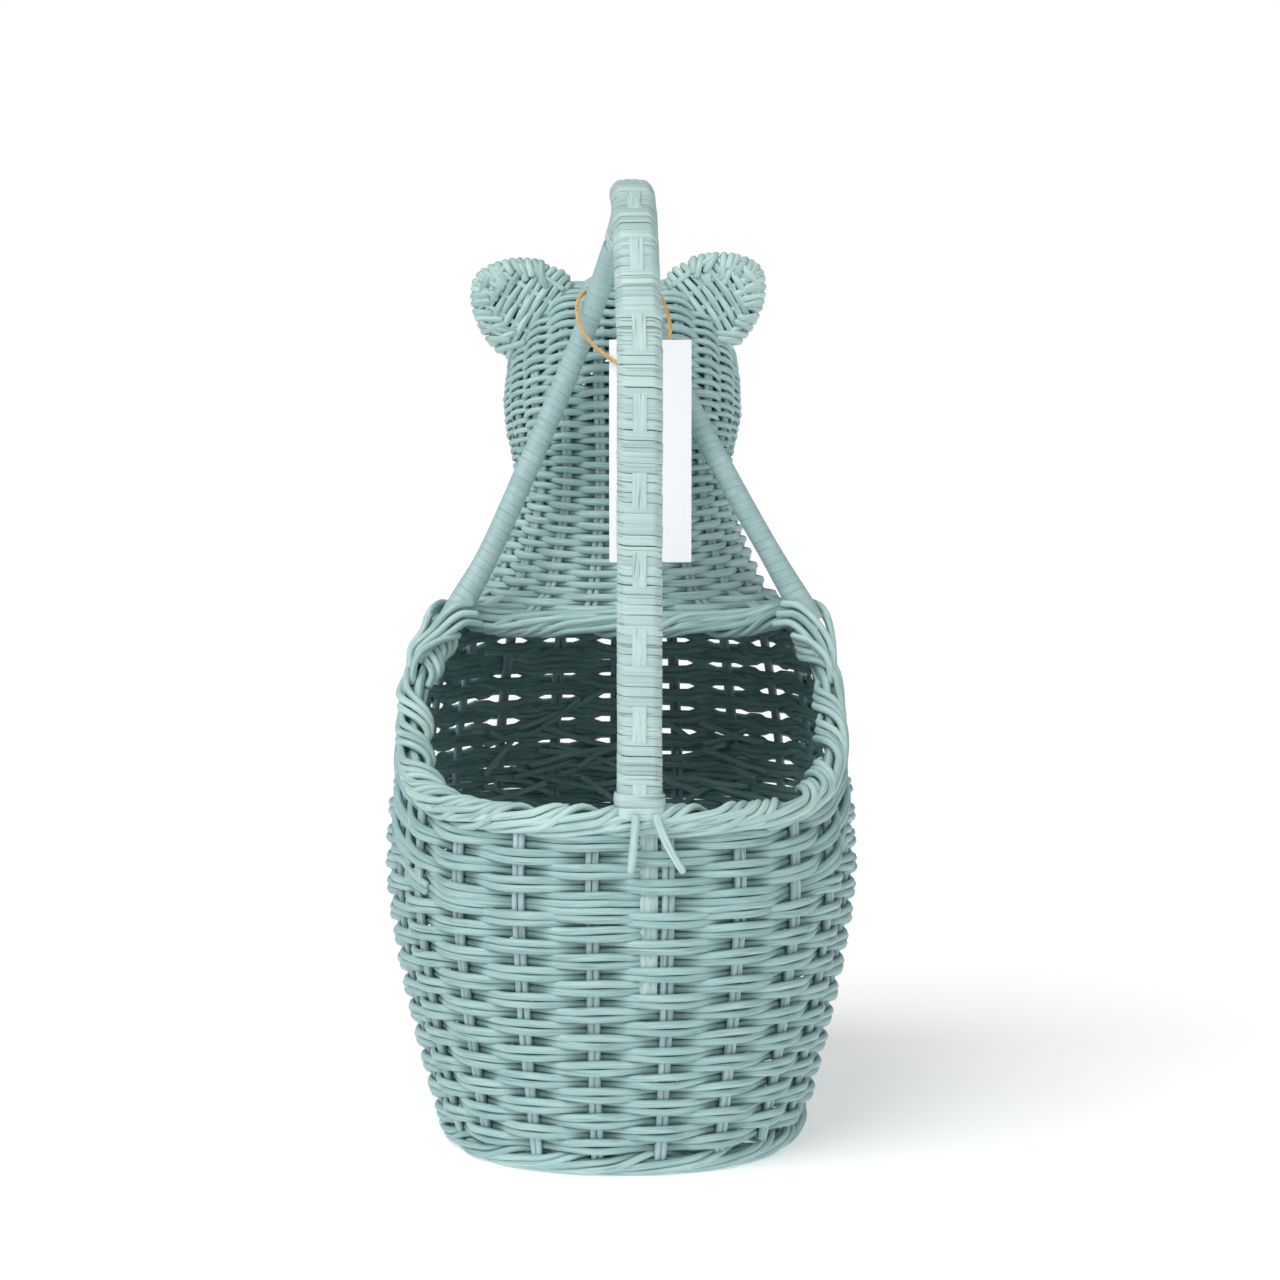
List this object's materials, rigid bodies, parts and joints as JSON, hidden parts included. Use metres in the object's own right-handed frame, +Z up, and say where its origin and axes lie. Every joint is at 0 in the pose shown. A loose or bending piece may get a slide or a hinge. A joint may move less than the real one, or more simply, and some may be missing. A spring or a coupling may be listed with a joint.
{
  "type": "wicker basket",
  "caption": "Woven rattan basket shaped like a sitting animal, open behind the neck, with a wrapped forked carrying handle and a blank hang tag on twine",
  "frame": {"origin": "on the ground, below the middle of the body between its tail and its chest", "axes": "+X to the right seen from behind, +Y from the tail towards the head, +Z up"},
  "size_m": [0.1917, 0.2591, 0.3767],
  "materials": {
    "rattan_weaver": "round rattan core, pale mint green stain, satin",
    "rattan_stake": "round rattan core, pale mint green stain, satin",
    "rattan_border": "round rattan core, pale mint green stain, satin",
    "rattan_rod": "thick round rattan, pale mint green stain, satin",
    "rattan_peel": "flat rattan peel, pale mint green stain, slightly glossy skin",
    "tag_card": "plain white uncoated card, blank",
    "jute_twine": "natural twisted jute, tan"
  },
  "bodies": {
    "basket": {"body_weavers_outside": "rattan_weaver", "body_weavers_inside": "rattan_weaver", "body_stake_01": "rattan_stake", "body_stake_02": "rattan_stake", "body_stake_03": "rattan_stake", "body_stake_04": "rattan_stake", "body_stake_05": "rattan_stake", "body_stake_06": "rattan_stake", "body_stake_07": "rattan_stake", "body_stake_08": "rattan_stake", "body_stake_09": "rattan_stake", "body_stake_10": "rattan_stake", "body_stake_11": "rattan_stake", "body_stake_12": "rattan_stake", "body_stake_13": "rattan_stake", "body_stake_14": "rattan_stake", "body_stake_15": "rattan_stake", "body_stake_16": "rattan_stake", "body_stake_17": "rattan_stake", "body_stake_18": "rattan_stake", "body_stake_19": "rattan_stake", "body_stake_20": "rattan_stake", "body_stake_21": "rattan_stake", "body_stake_22": "rattan_stake", "body_stake_23": "rattan_stake", "body_stake_24": "rattan_stake", "body_stake_25": "rattan_stake", "foot_border": "rattan_border", "base_mat": "rattan_border", "head_weavers_outside": "rattan_weaver", "head_weavers_inside": "rattan_weaver", "head_stake_01": "rattan_stake", "head_stake_02": "rattan_stake", "head_stake_03": "rattan_stake", "head_stake_04": "rattan_stake", "head_stake_05": "rattan_stake", "head_stake_06": "rattan_stake", "head_stake_07": "rattan_stake", "head_stake_08": "rattan_stake", "head_stake_09": "rattan_stake", "head_stake_10": "rattan_stake", "head_stake_11": "rattan_stake", "head_stake_12": "rattan_stake", "head_stake_13": "rattan_stake", "neck_border": "rattan_border", "ear_left": "rattan_weaver", "ear_right": "rattan_weaver", "handle_rod_left": "rattan_rod", "handle_rod_right": "rattan_rod", "rim_border": "rattan_border", "leg_wrap": "rattan_peel", "fork_wrap_left": "rattan_peel", "fork_wrap_right": "rattan_peel", "tail_collar": "rattan_peel", "listing_strip": "rattan_peel", "tie_end_left": "rattan_weaver", "tie_end_right": "rattan_weaver"},
    "hang_tag": {"tag": "tag_card", "twine": "jute_twine"}
  },
  "joints": [
    {"name": "tag_swing", "type": "hinge", "parent": "basket", "child": "hang_tag", "pos_m": [0, 0.0003, 0.3395], "axis": [-1, 0, 0], "range_deg": [0, 28]}
  ]
}
